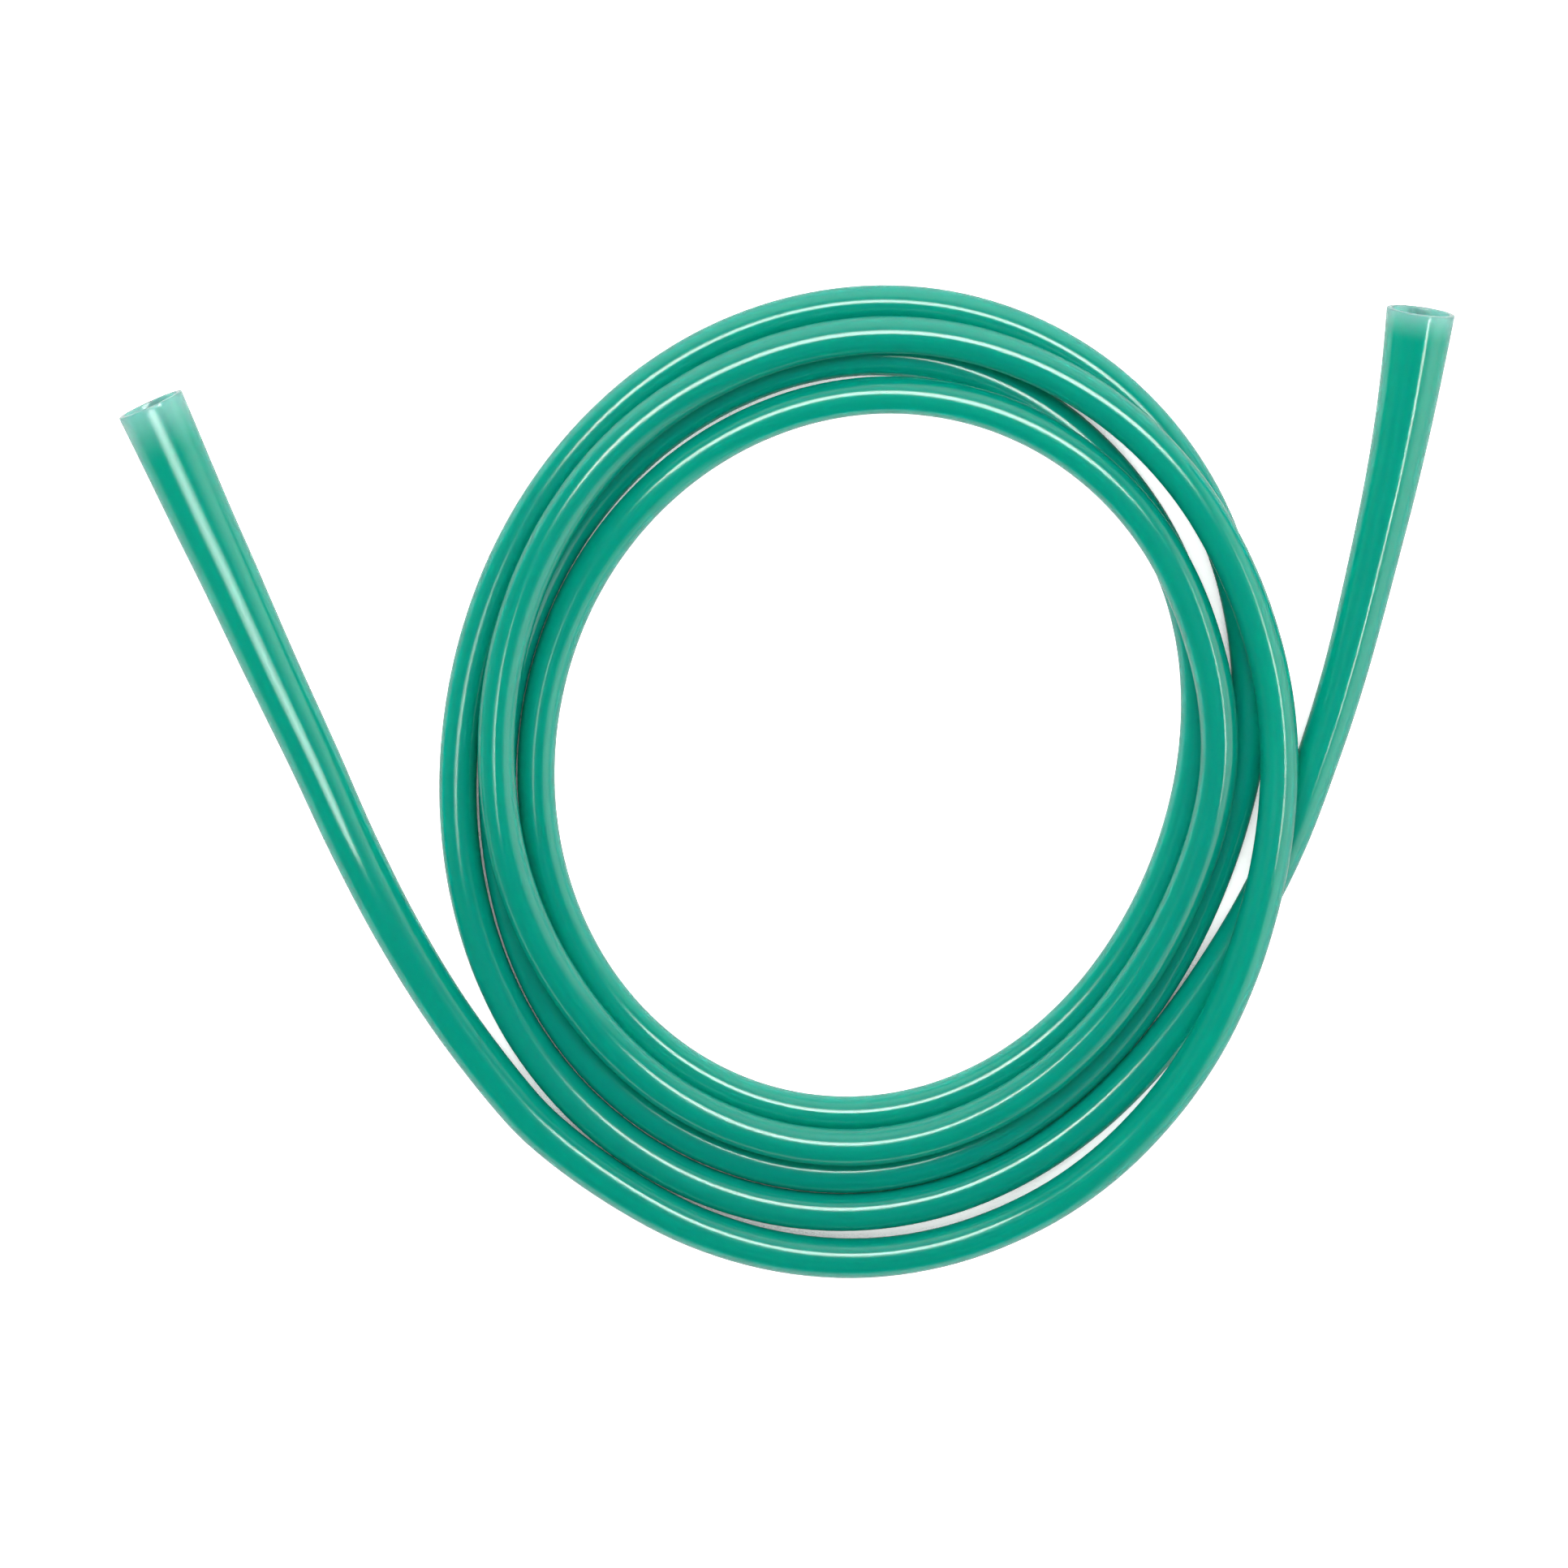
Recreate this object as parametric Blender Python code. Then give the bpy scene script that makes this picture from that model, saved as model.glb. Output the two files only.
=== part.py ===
"""Oxygen tubing: one length of clear green tube, coiled loosely and laid flat, open at both ends.

The tube is a single extrusion with a bore that runs from one cut end to the other. Near each end it
widens into a mouth that pushes over a tapered outlet. Three passes of the coil lie side by side on
the floor all the way round. A turn and a half lies in the grooves on top of them: it climbs off the
outermost pass at the lower right, over the leg that leaves there, and comes down as the innermost
pass at the top. Lengths are in metres, and the floor is z = 0.
"""

import bmesh
import bpy
import numpy as np
from mathutils import Matrix, Vector

# Section of the tube
TUBE_OD = 0.0065
WALL = 0.00095
MOUTH_OD = 0.0119
LEFT_FLARE = 0.0845
RIGHT_FLARE = 0.044
SIDES = 12
SHARP_FROM = 50
MERGE_WITHIN = 0.00002

# How the passes lie beside and on each other
LAY_GAP = 0.0001
CLIMB_RADIUS = 0.08
CLIMB_EASE = 0.02
CLIMB_STARTS = 300
CLIMB_ENDS = 850

# The hole in the middle of the coil: a mean radius with one, two and three slow swells around it,
# each with its height and the angle of its crest, counter-clockwise from +X
COIL_CENTRE = (0.01415, 0.00473)
HOLE_RADIUS = 0.05690
HOLE_SWELLS = ((0.00084, 90), (0.00368, 70), (0.00044, 35))

# Where the tube lies across the coil, as it winds counter-clockwise from the left leg to the right
# one. A row is the angle wound so far in degrees and the distance out from the innermost pass,
# counted in tubes laid side by side.
LANES = (
    (225, 3.50), (240, 3.61), (255, 3.73), (270, 3.84), (280, 3.80), (290, 3.70), (300, 3.52),
    (310, 3.31), (320, 3.06), (330, 2.78), (340, 2.48), (350, 2.32), (360, 2.11), (370, 1.92),
    (380, 1.69), (390, 1.54), (400, 1.50), (420, 1.45), (450, 1.60), (490, 1.58), (540, 1.02),
    (580, 0.68), (630, 0.76), (680, 0.58), (720, 0.58), (732, 0.36), (740, 0.20), (750, 0.10),
    (760, 0.06), (770, -0.01), (800, -0.03), (830, 0.0), (850, 0.03), (900, 0.0), (1080, -0.04),
    (1095, -0.02), (1110, 0.08), (1120, 0.10), (1130, 0.23), (1140, 0.37), (1155, 0.74), (1170, 1.0),
    (1200, 1.04), (1260, 1.0), (1275, 1.08), (1290, 1.27), (1305, 1.46), (1320, 1.54), (1335, 1.58),
    (1350, 1.58), (1365, 1.48), (1380, 1.29), (1410, 1.13), (1430, 1.14), (1440, 1.26), (1450, 1.35),
    (1460, 1.38), (1470, 1.52), (1480, 1.67), (1490, 1.84), (1500, 2.02), (1510, 2.17), (1520, 2.29),
    (1530, 2.36), (1550, 2.36), (1560, 2.30), (1590, 2.08), (1605, 2.02), (1620, 2.03), (1635, 2.14),
    (1650, 2.31), (1665, 2.48), (1680, 2.56), (1695, 2.60), (1710, 2.59), (1725, 2.49), (1740, 2.32),
    (1760, 2.19), (1770, 2.28), (1780, 2.48), (1790, 2.77), (1805, 3.24),
)
LANE_EASE = 9
EASE_SAMPLES = 7
TURN_STEP = 10
COIL_FROM = 240
COIL_TO = 1790

# The two legs, seen from above, from each cut end to where it joins the coil
LEFT_LEG = (
    (-0.1098, 0.0665), (-0.1068, 0.0598), (-0.1037, 0.0528), (-0.1003, 0.0452), (-0.0967, 0.0374),
    (-0.0894, 0.0211), (-0.0819, 0.0049), (-0.0753, -0.0099), (-0.0677, -0.0250), (-0.0589, -0.0396),
    (-0.0489, -0.0531), (-0.0411, -0.0614),
)
RIGHT_LEG = (
    (0.1095, 0.0826), (0.1084, 0.0744), (0.1069, 0.0647), (0.1050, 0.0545), (0.1028, 0.0443),
    (0.0990, 0.0281), (0.0961, 0.0171), (0.0927, 0.0062),
)
FINE_STEPS = 6


def hole_edge(turn):
    """Distance from the middle of the coil to the edge of its hole, at an angle in degrees."""
    swells = sum(height * np.cos(np.radians(waves * (turn - crest)))
                 for waves, (height, crest) in enumerate(HOLE_SWELLS, start=1))
    return HOLE_RADIUS + swells


def coil_point(turn):
    """Where the middle of the tube lies in the coil, after winding to this angle."""
    around = turn + np.linspace(-LANE_EASE, LANE_EASE, EASE_SAMPLES)
    lane = np.interp(around, *np.transpose(LANES)).mean()
    reach = hole_edge(turn) + TUBE_OD / 2 + lane * (TUBE_OD + LAY_GAP)
    angle = np.radians(turn)
    return COIL_CENTRE[0] + reach * np.cos(angle), COIL_CENTRE[1] + reach * np.sin(angle)


def smooth_through(points):
    """A smooth line through points, with FINE_STEPS steps between each two of them."""
    points = np.array(points)
    before = 2 * points[0] - points[1]
    after = 2 * points[-1] - points[-2]
    padded = np.vstack([before, points, after])
    line = []
    for a, b, c, d in zip(padded, padded[1:], padded[2:], padded[3:]):
        for t in np.arange(FINE_STEPS) / FINE_STEPS:
            line.append(0.5 * (2 * b + (c - a) * t + (2 * a - 5 * b + 4 * c - d) * t ** 2
                               + (3 * b - a - 3 * c + d) * t ** 3))
    return np.array(line + [points[-1]])


def plan_route():
    """The whole route from above, and which of its points lie on top of others."""
    turns = np.arange(COIL_FROM, COIL_TO + 1, TURN_STEP)
    stations = [*LEFT_LEG, *(coil_point(turn) for turn in turns), *reversed(RIGHT_LEG)]
    wound = np.interp(np.arange(len(stations) * FINE_STEPS - FINE_STEPS + 1) / FINE_STEPS,
                      len(LEFT_LEG) + np.arange(len(turns)), turns)
    return smooth_through(stations), (wound > CLIMB_STARTS) & (wound < CLIMB_ENDS)


def outer_radii(along):
    """Radius of the tube at each distance along it: it widens to the mouth at both ends."""
    flare = np.exp(-along / LEFT_FLARE) + np.exp((along - along[-1]) / RIGHT_FLARE)
    return (TUBE_OD + (MOUTH_OD - TUBE_OD) * flare) / 2


def lay_heights(plan, along, radii, climbs):
    """Height of the middle of the tube: on the floor, or just clear of the passes beneath it."""
    start, end = plan[:-1], plan[1:]
    run = end - start
    lies = ~(climbs[:-1] | climbs[1:])
    height = radii.copy()
    for i in np.flatnonzero(climbs):
        # What is more than the hole's radius away along the tube belongs to another pass
        beneath = lies & (abs(along[:-1] - along[i]) > HOLE_RADIUS)
        t = ((plan[i] - start) * run).sum(1) / (run ** 2).sum(1)
        apart = np.linalg.norm(start + np.clip(t, 0, 1)[:, None] * run - plan[i], axis=1)
        clear = radii[i] + radii[:-1] + LAY_GAP
        lift = np.sqrt(np.maximum(clear ** 2 - apart ** 2, 0)) + radii[:-1]
        height[i] = max(height[i], lift[beneath].max())
    # A stiff tube bridges the dips between the passes that it lies on, and comes down gently
    away = along[:, None] - along[None, :]
    bridged = (height[climbs] - away[:, climbs] ** 2 / (2 * CLIMB_RADIUS)).max(1)
    lifted = np.maximum(bridged - radii, 0)
    weight = np.cos(np.clip(away / CLIMB_EASE, -1, 1) * np.pi / 2) ** 2 * np.gradient(along)
    weight /= weight.sum(1, keepdims=True)
    sag = (weight * away ** 2).sum(1) / (2 * CLIMB_RADIUS)
    return radii + weight @ (lifted + sag * np.clip(lifted / LAY_GAP, 0, 1))


def ring_places(stations, radii):
    """Where a circle of radius one goes at each station: square to the tube, its first corner up."""
    places = []
    for i, centre in enumerate(stations):
        along = (stations[min(i + 1, len(stations) - 1)] - stations[max(i - 1, 0)]).normalized()
        side = along.cross(Vector((0, 0, 1))).normalized()
        turned = Matrix((side, side.cross(along), along)).transposed().to_4x4()
        places.append(Matrix.Translation(centre) @ turned @ Matrix.Scale(radii[i], 4))
    return places


def loft(bm, places):
    """Extrudes one circle from place to place."""
    circle = bmesh.ops.create_circle(bm, segments=SIDES, radius=1, matrix=places[0])
    edges = list(dict.fromkeys(edge for vert in circle["verts"] for edge in vert.link_edges))
    for before, place in zip(places, places[1:]):
        grown = bmesh.ops.extrude_edge_only(bm, edges=edges)["geom"]
        verts = [item for item in grown if isinstance(item, bmesh.types.BMVert)]
        edges = [item for item in grown if isinstance(item, bmesh.types.BMEdge) and item.is_boundary]
        bmesh.ops.transform(bm, matrix=place @ before.inverted(), verts=verts)


def clear_green_vinyl():
    """Glossy plasticised vinyl, tinted sea green and half see-through."""
    material = bpy.data.materials.new("clear_green_vinyl")
    material.use_nodes = True
    shader = material.node_tree.nodes["Principled BSDF"]
    shader.inputs["Base Color"].default_value = (0.005, 0.33, 0.22, 1)
    shader.inputs["Roughness"].default_value = 0.15
    shader.inputs["Metallic"].default_value = 0
    shader.inputs["Transmission Weight"].default_value = 0.5
    return material


def oxygen_tube():
    """The tube: an outer skin and a bore, joined by the flat cut face at each end."""
    plan, climbs = plan_route()
    along = np.concatenate([[0], np.cumsum(np.linalg.norm(np.diff(plan, axis=0), axis=1))])
    radii = outer_radii(along)
    heights = lay_heights(plan, along, radii, climbs)
    stations = [Vector(point) for point in np.column_stack([plan, heights])[::FINE_STEPS]]
    radii = radii[::FINE_STEPS]

    # Along the outside, in across the far cut, back through the bore and out across the near cut
    outside = ring_places(stations, radii)
    bore = ring_places(stations, radii - WALL)
    bm = bmesh.new()
    loft(bm, [*outside, *reversed(bore), outside[0]])
    bmesh.ops.remove_doubles(bm, verts=bm.verts, dist=MERGE_WITHIN)
    bmesh.ops.recalc_face_normals(bm, faces=bm.faces)
    mesh = bpy.data.meshes.new("oxygen_tube")
    bm.to_mesh(mesh)
    bm.free()
    mesh.shade_smooth()
    mesh.set_sharp_from_angle(angle=np.radians(SHARP_FROM))
    mesh.materials.append(clear_green_vinyl())
    tube = bpy.data.objects.new("oxygen_tube", mesh)
    bpy.context.scene.collection.objects.link(tube)


for old in list(bpy.data.objects):
    bpy.data.objects.remove(old)
oxygen_tube()
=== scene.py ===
"""Oxygen tubing: one length of clear green vinyl tube, coiled loosely and laid on a white table.

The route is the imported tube's own. Three passes of the coil lie side by side on the table, and a turn
and a half lies in the grooves on top of them. Near each cut end the tube widens into a mouth that
pushes over a tapered outlet. Lengths are in metres, +Z is up and the table is z = 0.
"""

import bmesh
import bpy
import numpy as np
from mathutils import Matrix, Vector


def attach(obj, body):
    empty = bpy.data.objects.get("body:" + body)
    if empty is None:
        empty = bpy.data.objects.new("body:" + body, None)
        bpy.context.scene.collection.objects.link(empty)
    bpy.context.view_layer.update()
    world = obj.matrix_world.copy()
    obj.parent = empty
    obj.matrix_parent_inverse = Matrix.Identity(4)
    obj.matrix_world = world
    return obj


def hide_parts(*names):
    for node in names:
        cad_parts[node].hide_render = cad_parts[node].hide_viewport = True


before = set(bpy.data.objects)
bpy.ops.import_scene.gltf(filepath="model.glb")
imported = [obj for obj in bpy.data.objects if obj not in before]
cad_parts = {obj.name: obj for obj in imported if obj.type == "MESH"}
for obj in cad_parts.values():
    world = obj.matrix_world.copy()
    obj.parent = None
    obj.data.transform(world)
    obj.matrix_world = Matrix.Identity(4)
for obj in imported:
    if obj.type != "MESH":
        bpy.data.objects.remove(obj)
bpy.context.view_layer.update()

# Section of the tube
TUBE_OD = 0.0065
WALL = 0.00095
MOUTH_OD = 0.0119
LEFT_FLARE = 0.0845
RIGHT_FLARE = 0.044
RIM_ROUND = 0.0002
RIM_STEPS = 3
SIDES = 40

# How the passes lie beside and on each other
LAY_GAP = 0.0001
CLIMB_RADIUS = 0.08
CLIMB_EASE = 0.02
CLIMB_STARTS = 300
CLIMB_ENDS = 850

# The hole in the middle of the coil: a mean radius with one, two and three slow swells around it,
# each with its height and the angle of its crest, counter-clockwise from +X
COIL_CENTRE = (0.01415, 0.00473)
HOLE_RADIUS = 0.05690
HOLE_SWELLS = ((0.00084, 90), (0.00368, 70), (0.00044, 35))

# Where the tube lies across the coil, as it winds counter-clockwise from the left leg to the right
# one. A row is the angle wound so far in degrees and the distance out from the innermost pass,
# counted in tubes laid side by side.
LANES = (
    (225, 3.50), (240, 3.61), (255, 3.73), (270, 3.84), (280, 3.80), (290, 3.70), (300, 3.52),
    (310, 3.31), (320, 3.06), (330, 2.78), (340, 2.48), (350, 2.32), (360, 2.11), (370, 1.92),
    (380, 1.69), (390, 1.54), (400, 1.50), (420, 1.45), (450, 1.60), (490, 1.58), (540, 1.02),
    (580, 0.68), (630, 0.76), (680, 0.58), (720, 0.58), (732, 0.36), (740, 0.20), (750, 0.10),
    (760, 0.06), (770, -0.01), (800, -0.03), (830, 0.0), (850, 0.03), (900, 0.0), (1080, -0.04),
    (1095, -0.02), (1110, 0.08), (1120, 0.10), (1130, 0.23), (1140, 0.37), (1155, 0.74), (1170, 1.0),
    (1200, 1.04), (1260, 1.0), (1275, 1.08), (1290, 1.27), (1305, 1.46), (1320, 1.54), (1335, 1.58),
    (1350, 1.58), (1365, 1.48), (1380, 1.29), (1410, 1.13), (1430, 1.14), (1440, 1.26), (1450, 1.35),
    (1460, 1.38), (1470, 1.52), (1480, 1.67), (1490, 1.84), (1500, 2.02), (1510, 2.17), (1520, 2.29),
    (1530, 2.36), (1550, 2.36), (1560, 2.30), (1590, 2.08), (1605, 2.02), (1620, 2.03), (1635, 2.14),
    (1650, 2.31), (1665, 2.48), (1680, 2.56), (1695, 2.60), (1710, 2.59), (1725, 2.49), (1740, 2.32),
    (1760, 2.19), (1770, 2.28), (1780, 2.48), (1790, 2.77), (1805, 3.24),
)
LANE_EASE = 9
EASE_SAMPLES = 7
TURN_STEP = 10
COIL_FROM = 240
COIL_TO = 1790

# The two legs, seen from above, from each cut end to where it joins the coil
LEFT_LEG = (
    (-0.1098, 0.0665), (-0.1068, 0.0598), (-0.1037, 0.0528), (-0.1003, 0.0452), (-0.0967, 0.0374),
    (-0.0894, 0.0211), (-0.0819, 0.0049), (-0.0753, -0.0099), (-0.0677, -0.0250), (-0.0589, -0.0396),
    (-0.0489, -0.0531), (-0.0411, -0.0614),
)
RIGHT_LEG = (
    (0.1095, 0.0826), (0.1084, 0.0744), (0.1069, 0.0647), (0.1050, 0.0545), (0.1028, 0.0443),
    (0.0990, 0.0281), (0.0961, 0.0171), (0.0927, 0.0062),
)
FINE_STEPS = 6

# The photograph's frame on the table, and how the camera stands over it
FRAME_WIDTH = 0.2721
FRAME_CENTRE = (-0.00035, 0.00015, 0.00325)
CAMERA_AWAY = 2.0
CAMERA_TILT = 6.5
SENSOR = 36

# How much brighter than its own light the table is to the camera, and to rays through the plastic or
# mirrored by it
TABLE_HALF = 3
TABLE_GLOW = 1.0
MIRRORED_GLOW = 0.15

# How much of the sky the table sees within GAP_DEPTH where a gap counts as closed, and as open; where it
# is closed, the table gets painted shade in dark green
GAP_DEPTH = 0.01
GAP_CLOSED = 0.11
GAP_OPEN = 0.2

# How bright the room is to matt surfaces, and the walls that gloss mirrors: which way each lies, its
# brightness, and how far towards it a ray has to point for its edge and for its full brightness
ROOM_FILL = 0.5
WALLS = (
    ((0, 1, 0), 1.5, 0.5, 0.95),
    ((0.98, -0.2, 0), 1.9, 0.5, 0.9),
    ((-1, 0, 0), 0.15, 0.7, 1),
)
STRIP_SIDE = (0, 0.407, 0.914)


def hole_edge(turn):
    """Distance from the middle of the coil to the edge of its hole, at an angle in degrees."""
    swells = sum(height * np.cos(np.radians(waves * (turn - crest)))
                 for waves, (height, crest) in enumerate(HOLE_SWELLS, start=1))
    return HOLE_RADIUS + swells


def coil_point(turn):
    """Where the middle of the tube lies in the coil, after winding to this angle."""
    around = turn + np.linspace(-LANE_EASE, LANE_EASE, EASE_SAMPLES)
    lane = np.interp(around, *np.transpose(LANES)).mean()
    reach = hole_edge(turn) + TUBE_OD / 2 + lane * (TUBE_OD + LAY_GAP)
    angle = np.radians(turn)
    return COIL_CENTRE[0] + reach * np.cos(angle), COIL_CENTRE[1] + reach * np.sin(angle)


def smooth_through(points):
    """A smooth line through points, with FINE_STEPS steps between each two of them."""
    points = np.array(points)
    before = 2 * points[0] - points[1]
    after = 2 * points[-1] - points[-2]
    padded = np.vstack([before, points, after])
    line = []
    for a, b, c, d in zip(padded, padded[1:], padded[2:], padded[3:]):
        for t in np.arange(FINE_STEPS) / FINE_STEPS:
            line.append(0.5 * (2 * b + (c - a) * t + (2 * a - 5 * b + 4 * c - d) * t ** 2
                               + (3 * b - a - 3 * c + d) * t ** 3))
    return np.array(line + [points[-1]])


def plan_route():
    """The whole route from above, and which of its points lie on top of others."""
    turns = np.arange(COIL_FROM, COIL_TO + 1, TURN_STEP)
    stations = [*LEFT_LEG, *(coil_point(turn) for turn in turns), *reversed(RIGHT_LEG)]
    wound = np.interp(np.arange(len(stations) * FINE_STEPS - FINE_STEPS + 1) / FINE_STEPS,
                      len(LEFT_LEG) + np.arange(len(turns)), turns)
    return smooth_through(stations), (wound > CLIMB_STARTS) & (wound < CLIMB_ENDS)


def outer_radii(along):
    """Radius of the tube at each distance along it: it widens to the mouth at both ends."""
    flare = np.exp(-along / LEFT_FLARE) + np.exp((along - along[-1]) / RIGHT_FLARE)
    return (TUBE_OD + (MOUTH_OD - TUBE_OD) * flare) / 2


def lay_heights(plan, along, radii, climbs):
    """Height of the middle of the tube: on the table, or just clear of the passes beneath it."""
    start, end = plan[:-1], plan[1:]
    run = end - start
    lies = ~(climbs[:-1] | climbs[1:])
    height = radii.copy()
    for i in np.flatnonzero(climbs):
        # What is more than the hole's radius away along the tube belongs to another pass
        beneath = lies & (abs(along[:-1] - along[i]) > HOLE_RADIUS)
        t = ((plan[i] - start) * run).sum(1) / (run ** 2).sum(1)
        apart = np.linalg.norm(start + np.clip(t, 0, 1)[:, None] * run - plan[i], axis=1)
        clear = radii[i] + radii[:-1] + LAY_GAP
        lift = np.sqrt(np.maximum(clear ** 2 - apart ** 2, 0)) + radii[:-1]
        height[i] = max(height[i], lift[beneath].max())
    # A stiff tube bridges the dips between the passes that it lies on, and comes down gently
    away = along[:, None] - along[None, :]
    bridged = (height[climbs] - away[:, climbs] ** 2 / (2 * CLIMB_RADIUS)).max(1)
    lifted = np.maximum(bridged - radii, 0)
    weight = np.cos(np.clip(away / CLIMB_EASE, -1, 1) * np.pi / 2) ** 2 * np.gradient(along)
    weight /= weight.sum(1, keepdims=True)
    sag = (weight * away ** 2).sum(1) / (2 * CLIMB_RADIUS)
    return radii + weight @ (lifted + sag * np.clip(lifted / LAY_GAP, 0, 1))


def directions(line):
    """Which way the tube runs at each point of its middle line."""
    ways = []
    for i in range(len(line)):
        ways.append((line[min(i + 1, len(line) - 1)] - line[max(i - 1, 0)]).normalized())
    return ways


def ring_place(centre, way, radius):
    """Where a circle of radius one goes: square to the tube, with its first corner up."""
    side = way.cross(Vector((0, 0, 1))).normalized()
    turned = Matrix((side, side.cross(way), way)).transposed().to_4x4()
    return Matrix.Translation(centre) @ turned @ Matrix.Scale(radius, 4)


def rim_profile(radius):
    """Over a cut end from the outside to the bore: how far each step is behind the cut, and its radius."""
    quarter = np.linspace(0, np.pi / 2, RIM_STEPS + 1)
    corner = [(RIM_ROUND * (1 - np.sin(a)), radius - RIM_ROUND * (1 - np.cos(a))) for a in quarter]
    return corner + [(back, 2 * radius - WALL - across) for back, across in reversed(corner)]


def tube_rings(line, radii, along):
    """The rings in order: along the outside, in at the far cut, back in the bore, out at the near cut."""
    ways = directions(line)
    stretch = (2 * radii - TUBE_OD) / (MOUTH_OD - TUBE_OD)
    last = len(line) - 1

    def ring(i, radius, back=0):
        centre = line[i] + ways[i] * (back if i == 0 else -back)
        return ring_place(centre, ways[i], radius), along[i], stretch[i]

    outside = [ring(i, radii[i]) for i in range(1, last)]
    bore = [ring(i, radii[i] - WALL) for i in range(1, last)]
    far = [ring(last, radius, back) for back, radius in rim_profile(radii[last])]
    near = [ring(0, radius, back) for back, radius in rim_profile(radii[0])]
    return [*outside, *far, *reversed(bore), *reversed(near), outside[0]]


def loft(bm, rings):
    """An open cylinder, cut across once for each ring, whose cuts then go to the rings' places."""
    last = len(rings) - 1
    bmesh.ops.create_cone(bm, segments=SIDES, radius1=1, radius2=1, depth=last)
    straight = [edge for edge in bm.edges if abs(edge.verts[0].co.z - edge.verts[1].co.z) > 1]
    bmesh.ops.subdivide_edges(bm, edges=straight, cuts=last - 1, use_grid_fill=True)
    section = bm.verts.layers.float_vector.new("section")
    stretch = bm.verts.layers.float.new("stretch")
    for vert in bm.verts:
        place, along, widened = rings[round(vert.co.z + last / 2)]
        across = Vector((vert.co.x, vert.co.y, 0))
        vert[section] = (*across.xy, along)
        vert[stretch] = widened
        vert.co = place @ across


def node(tree, kind, inputs=(), **settings):
    """Adds a shader node, with its settings and what its sockets hold or are linked from."""
    added = tree.nodes.new(kind)
    for name, value in settings.items():
        setattr(added, name, value)
    for name, value in dict(inputs).items():
        if isinstance(value, bpy.types.NodeSocket):
            tree.links.new(value, added.inputs[name])
        else:
            added.inputs[name].default_value = value
    return added


def linear(code):
    """An sRGB hex colour as linear red, green, blue and alpha."""
    parts = [int(code[i:i + 2], 16) / 255 for i in (1, 3, 5)]
    return (*(c / 12.92 if c <= 0.04045 else ((c + 0.055) / 1.055) ** 2.4 for c in parts), 1)


def new_material(name):
    """A material with a bare output, its node tree and that output."""
    material = bpy.data.materials.new(name)
    material.use_nodes = True
    material.node_tree.nodes.clear()
    return material, material.node_tree, node(material.node_tree, "ShaderNodeOutputMaterial")


def mixed(tree, share, first, second):
    """A colour between two others, by a share from 0 to 1."""
    blend = node(tree, "ShaderNodeMix", {0: share, 6: first, 7: second}, data_type="RGBA")
    return blend.outputs[2]


def extruded_clear_vinyl():
    """Plasticised PVC, extruded: glossy and a little milky, tinted sea green, with faint die lines.

    It is paler where the ends are stretched the widest.
    """
    material, tree, out = new_material("extruded_clear_green_vinyl")
    section = node(tree, "ShaderNodeAttribute", attribute_name="section")
    stretch = node(tree, "ShaderNodeAttribute", attribute_name="stretch")
    # Die lines 0.6 mm apart and 100 mm long: real ones are finer, and are drawn as coarse as shows
    lined = node(tree, "ShaderNodeMapping", {"Vector": section.outputs["Vector"], "Scale": (5.4, 5.4, 10)})
    lines = node(tree, "ShaderNodeTexNoise", {"Vector": lined.outputs[0], "Scale": 1, "Detail": 3})
    bump = node(tree, "ShaderNodeBump", {"Height": lines.outputs[0], "Strength": 1, "Distance": 0.00002})
    # The tint is a little uneven, in patches about 10 mm across and 40 mm long
    patched = node(tree, "ShaderNodeMapping", {"Vector": section.outputs["Vector"],
                                               "Scale": (0.33, 0.33, 25)})
    patches = node(tree, "ShaderNodeTexNoise", {"Vector": patched.outputs[0], "Scale": 1, "Detail": 2})
    tint = mixed(tree, patches.outputs[0], linear("#00ceb9"), linear("#00dac0"))
    pale = node(tree, "ShaderNodeMapRange", {"Value": stretch.outputs["Fac"], "From Min": 0.89,
                                             "From Max": 1.01, "To Min": 0, "To Max": 1},
                interpolation_type="SMOOTHSTEP")
    # The gloss is a little uneven along the die lines
    polish = node(tree, "ShaderNodeMapRange", {"Value": lines.outputs[0], "From Min": 0.3,
                                               "From Max": 0.7, "To Min": 0.12, "To Max": 0.2})
    shader = node(tree, "ShaderNodeBsdfPrincipled", {
        "Base Color": mixed(tree, pale.outputs[0], tint, linear("#b4efe4")),
        "Roughness": polish.outputs[0],
        "Normal": bump.outputs[0],
        "IOR": 1.53,
        "Transmission Weight": 0.62,
        "Subsurface Weight": 1,
        "Subsurface Radius": (0.3, 1, 0.8),
        "Subsurface Scale": 0.003,
    })
    tree.links.new(shader.outputs["BSDF"], out.inputs["Surface"])
    return material


def tubing():
    """The tube: outside, bore and the rounded rims of both cut ends, and the line that it follows."""
    plan, climbs = plan_route()
    along = np.concatenate([[0], np.cumsum(np.linalg.norm(np.diff(plan, axis=0), axis=1))])
    radii = outer_radii(along)
    heights = lay_heights(plan, along, radii, climbs)
    line = [Vector(point) for point in np.column_stack([plan, heights])]
    bm = bmesh.new()
    loft(bm, tube_rings(line, radii, along))
    bmesh.ops.remove_doubles(bm, verts=bm.verts, dist=RIM_ROUND / 100)
    bmesh.ops.recalc_face_normals(bm, faces=bm.faces)
    mesh = bpy.data.meshes.new("tubing")
    bm.to_mesh(mesh)
    bm.free()
    mesh.shade_smooth()
    mesh.materials.append(extruded_clear_vinyl())
    tube = bpy.data.objects.new("tubing", mesh)
    bpy.context.scene.collection.objects.link(tube)
    return tube, line


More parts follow.
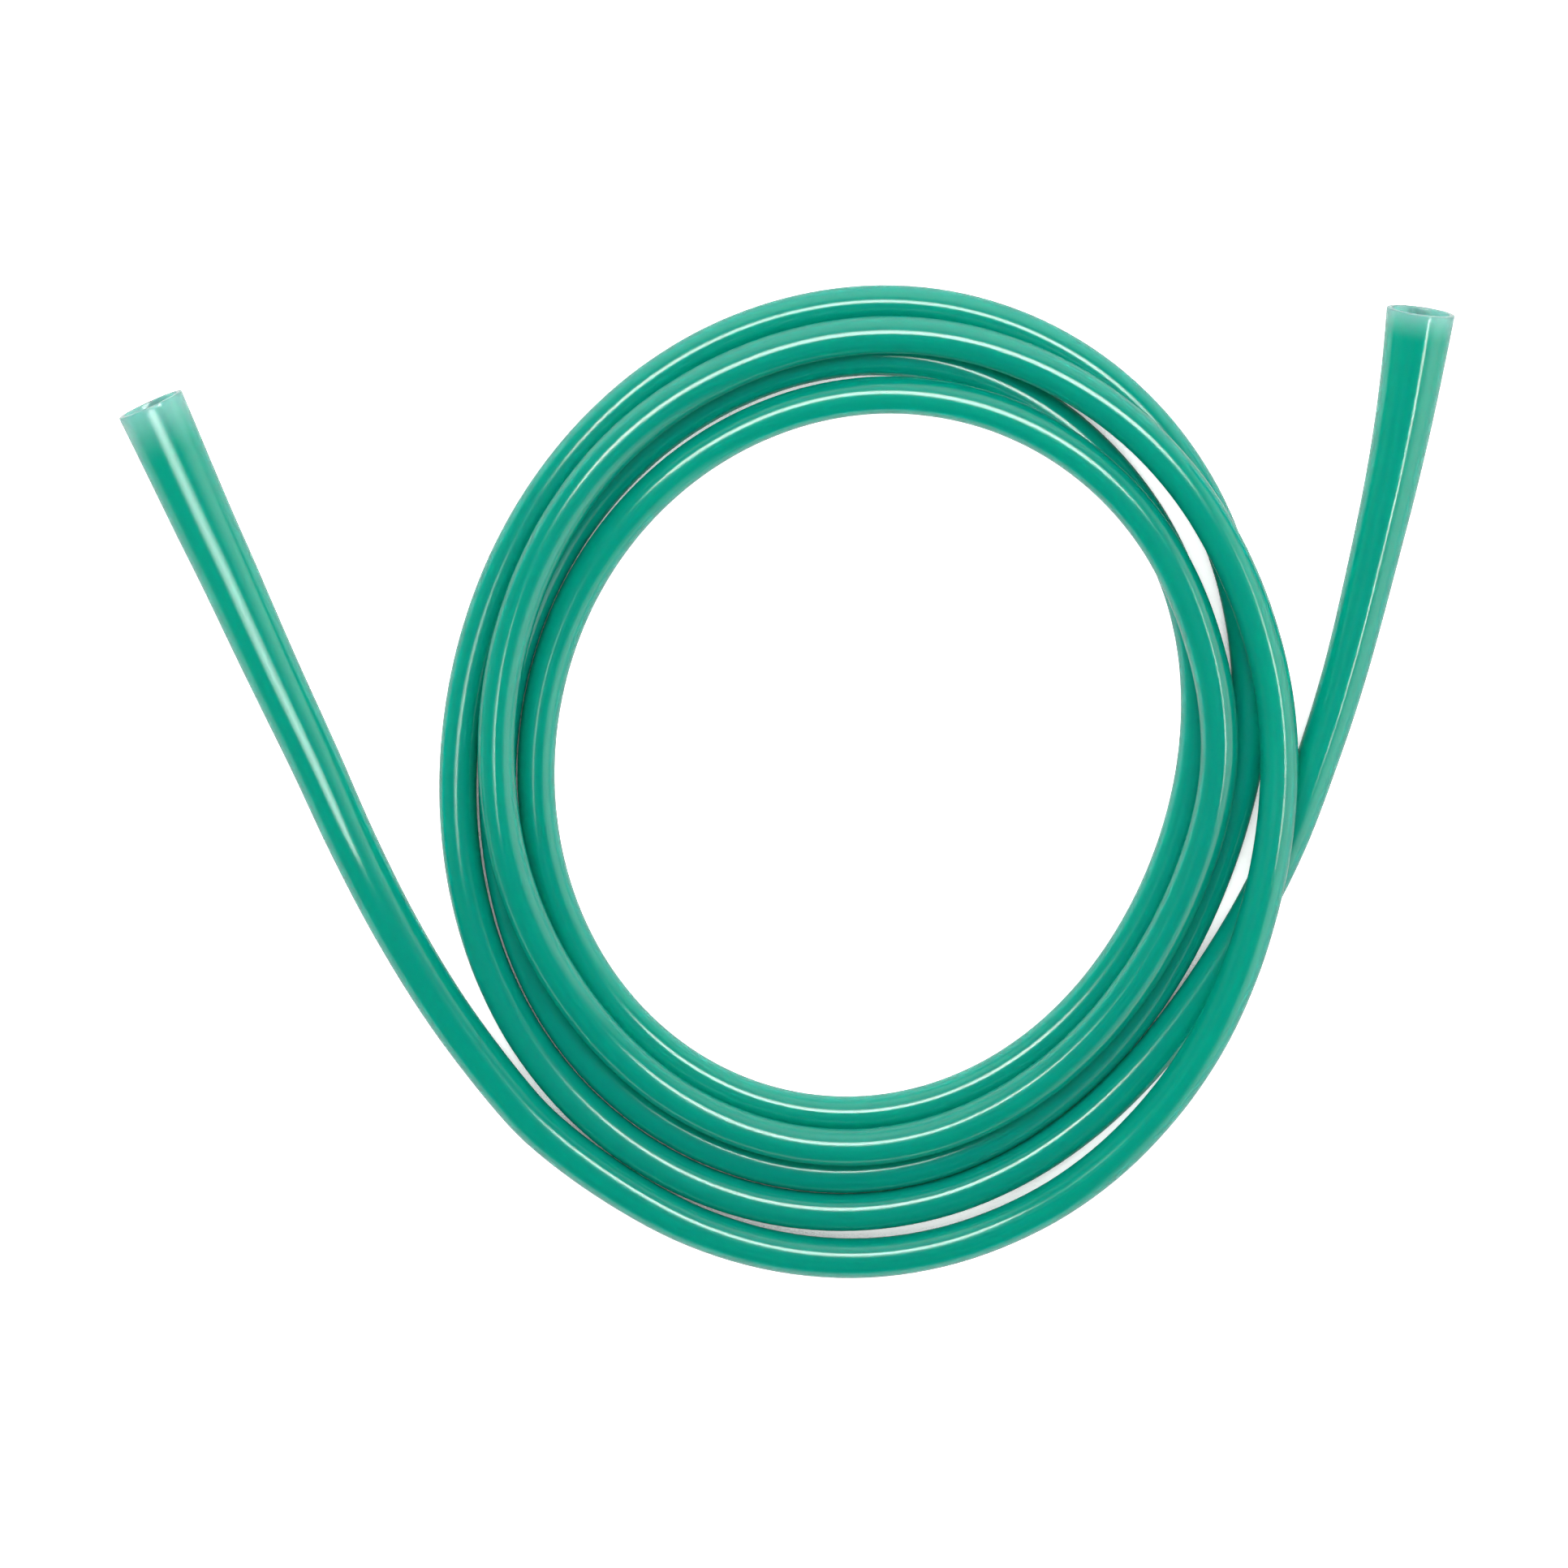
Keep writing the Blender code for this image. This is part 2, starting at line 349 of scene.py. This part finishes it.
def white_table():
    """A plain table of white paper, pure white to the camera, with shade painted on it in the vinyl's
    green deep in its gaps.
    """
    bm = bmesh.new()
    bmesh.ops.create_grid(bm, x_segments=1, y_segments=1, size=TABLE_HALF)
    mesh = bpy.data.meshes.new("white_table")
    bm.to_mesh(mesh)
    bm.free()
    table = bpy.data.objects.new("white_table", mesh)
    bpy.context.scene.collection.objects.link(table)
    material, tree, out = new_material("white_paper")
    # Painted shade: deep between two passes, where the paper sees little sky, its colour is painted dark
    # green and its glow is taken away, standing in for the shade there and the light it gets through the
    # vinyl
    sky = node(tree, "ShaderNodeAmbientOcclusion", {"Distance": GAP_DEPTH}, samples=4)
    clear = node(tree, "ShaderNodeMapRange", {"Value": sky.outputs["AO"], "From Min": GAP_CLOSED,
                                              "From Max": GAP_OPEN, "To Min": 0, "To Max": 1})
    colour = mixed(tree, clear.outputs[0], linear("#006450"), linear("#f4f4f4"))
    paper = node(tree, "ShaderNodeBsdfDiffuse", {"Color": colour})
    seen = node(tree, "ShaderNodeLightPath")
    through = node(tree, "ShaderNodeMath", {0: seen.outputs["Is Glossy Ray"],
                                            1: seen.outputs["Is Transmission Ray"]}, operation="MAXIMUM")
    dim = node(tree, "ShaderNodeMath", {0: through.outputs[0], 1: MIRRORED_GLOW}, operation="MULTIPLY")
    over = node(tree, "ShaderNodeMath", {0: seen.outputs["Is Camera Ray"], 1: TABLE_GLOW,
                                         2: dim.outputs[0]}, operation="MULTIPLY_ADD")
    # Painted shade: the glow fades out where a gap counts as closed
    strength = node(tree, "ShaderNodeMath", {0: over.outputs[0], 1: clear.outputs[0]},
                    operation="MULTIPLY")
    glow = node(tree, "ShaderNodeEmission", {"Color": (1, 1, 1, 1), "Strength": strength.outputs[0]})
    both = node(tree, "ShaderNodeAddShader", {0: paper.outputs[0], 1: glow.outputs[0]})
    tree.links.new(both.outputs[0], out.inputs["Surface"])
    mesh.materials.append(material)


def place_camera():
    """The camera: high over the table with a long lens, leaning back a little towards +Y."""
    tilt = np.radians(CAMERA_TILT)
    data = bpy.data.cameras.new("camera")
    data.sensor_width = SENSOR
    data.lens = SENSOR * CAMERA_AWAY / FRAME_WIDTH
    camera = bpy.data.objects.new("camera", data)
    camera.location = Vector(FRAME_CENTRE) + CAMERA_AWAY * Vector((0, np.sin(tilt), np.cos(tilt)))
    camera.rotation_euler = (-tilt, 0, 0)
    bpy.context.scene.collection.objects.link(camera)
    bpy.context.scene.camera = camera


def soft_light(name, aim, towards, away, size, radiance, along=90, diffuse=True, spread=179):
    """A lamp that faces the point aim from a direction, its longer side turned along an angle.

    One that gives no diffuse light is there for its glint only, and is an ellipse.
    """
    width, depth = size
    half = np.radians(spread / 2)
    data = bpy.data.lights.new(name, "AREA")
    data.shape = "RECTANGLE" if diffuse else "ELLIPSE"
    data.size = width
    data.size_y = depth
    data.spread = 2 * half
    # A narrower spread puts all of the lamp's power in a narrower beam
    data.energy = radiance * np.pi * width * depth * (1 - half / np.tan(half))
    lamp = bpy.data.objects.new(name, data)
    way = Vector(towards).normalized()
    lamp.location = Vector(aim) + away * way
    long_side = Vector((np.cos(np.radians(along)), np.sin(np.radians(along)), 0))
    side = (long_side - long_side.dot(way) * way).normalized()
    lamp.rotation_euler = Matrix((side, way.cross(side), way)).transposed().to_euler()
    lamp.visible_diffuse = diffuse
    lamp.visible_camera = False
    bpy.context.scene.collection.objects.link(lamp)


def white_room():
    """An even white room. To gloss it is dark overhead, and bright low down behind and to the right."""
    world = bpy.data.worlds.new("white_room")
    world.use_nodes = True
    tree = world.node_tree
    towards = node(tree, "ShaderNodeTexCoord")
    mirrored = 0
    for facing, glow, starts, full in WALLS:
        off = node(tree, "ShaderNodeVectorMath", {0: towards.outputs["Generated"], 1: facing},
                   operation="DOT_PRODUCT")
        wall = node(tree, "ShaderNodeMapRange", {"Value": off.outputs["Value"], "From Min": starts,
                                                 "From Max": full, "To Min": 0, "To Max": glow},
                    interpolation_type="SMOOTHSTEP")
        mirrored = node(tree, "ShaderNodeMath", {0: mirrored, 1: wall.outputs[0]}).outputs[0]
    ray = node(tree, "ShaderNodeLightPath")
    lit = node(tree, "ShaderNodeMix", {0: ray.outputs["Is Diffuse Ray"], 2: 1, 3: ROOM_FILL})
    strength = node(tree, "ShaderNodeMix", {0: ray.outputs["Is Glossy Ray"], 2: lit.outputs[0],
                                            3: mirrored})
    background = tree.nodes["Background"]
    background.inputs["Color"].default_value = (1, 1, 1, 1)
    tree.links.new(strength.outputs[0], background.inputs["Strength"])
    bpy.context.scene.world = world


tube, tube_line = tubing()
place_camera()
# One strip lamp lights the coil, a wider and dimmer one softens its glint, and a card over each leg
# gives that leg's own glint
soft_light("strip_light", (0, 0, 0), STRIP_SIDE, away=1.2, size=(1.2, 0.3), radiance=9, along=0)
soft_light("strip_shine", (0, 0, 0), STRIP_SIDE, away=1.1, size=(1.3, 0.38), radiance=5, along=0,
           diffuse=False)
soft_light("left_card", (-0.093, 0.03, 0.008), (0.0, -0.1, 0.994), away=0.07, size=(0.1, 0.06),
           radiance=9, along=-66, diffuse=False, spread=50)
soft_light("right_card", (0.105, 0.055, 0.008), (0.47, -0.21, 0.86), away=0.11, size=(0.13, 0.014),
           radiance=14, along=78, diffuse=False, spread=70)
white_room()
white_table()

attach(tube, "root")
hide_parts("oxygen_tube")

bpy.context.scene.view_settings.view_transform = "Standard"
